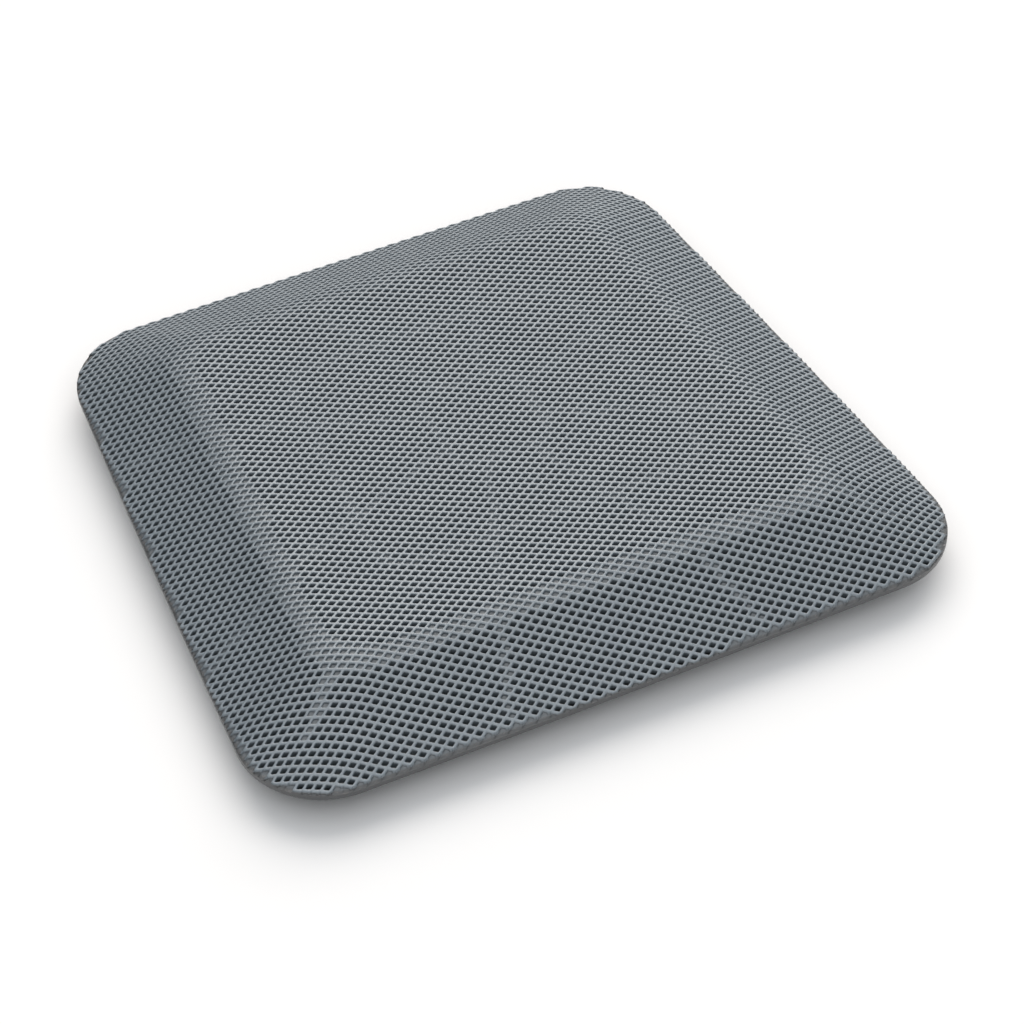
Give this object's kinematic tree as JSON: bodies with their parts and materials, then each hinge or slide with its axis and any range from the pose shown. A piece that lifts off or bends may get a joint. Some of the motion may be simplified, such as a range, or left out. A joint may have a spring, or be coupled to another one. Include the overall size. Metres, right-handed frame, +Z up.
{
  "type": "chair armrest pad",
  "caption": "Near-square armrest pad with rounded corners: a flat raised lattice cushion with sloped sides, on a stiff carrier with a steel plate that bolts to the arm.",
  "frame": {"origin": "centre of the footprint, on the surface that the pad stands on, which is the underside of the steel mounting plate", "axes": "+Z up towards the elbow, +Y from the wide end to the narrow end, +X across the pad"},
  "size_m": [0.118, 0.1062, 0.0153],
  "materials": {
    "lattice_elastomer": "matt moulded elastomer, cool grey",
    "liner_knit": "matt dark knit",
    "foam": "matt cellular foam",
    "frame_plastic": "fine moulded grain",
    "carrier_plastic": "glass-filled plastic with a spark-eroded grain",
    "plate_steel": "zinc-plated, lightly brushed",
    "insert_brass": "machined",
    "screw_steel": "black zinc"
  },
  "bodies": {
    "root": {"lattice_cover": "lattice_elastomer", "backing_liner": "liner_knit", "foam_core": "foam", "rim_frame": "frame_plastic", "carrier_plate": "carrier_plastic", "mounting_plate": "plate_steel", "threaded_insert_1": "insert_brass", "threaded_insert_2": "insert_brass", "threaded_insert_3": "insert_brass", "threaded_insert_4": "insert_brass", "plate_screw_1": "screw_steel", "plate_screw_2": "screw_steel", "plate_screw_3": "screw_steel", "plate_screw_4": "screw_steel", "frame_screw_1": "screw_steel", "frame_screw_2": "screw_steel", "frame_screw_3": "screw_steel", "frame_screw_4": "screw_steel", "frame_screw_5": "screw_steel", "frame_screw_6": "screw_steel", "frame_screw_7": "screw_steel", "frame_screw_8": "screw_steel"}
  },
  "joints": []
}
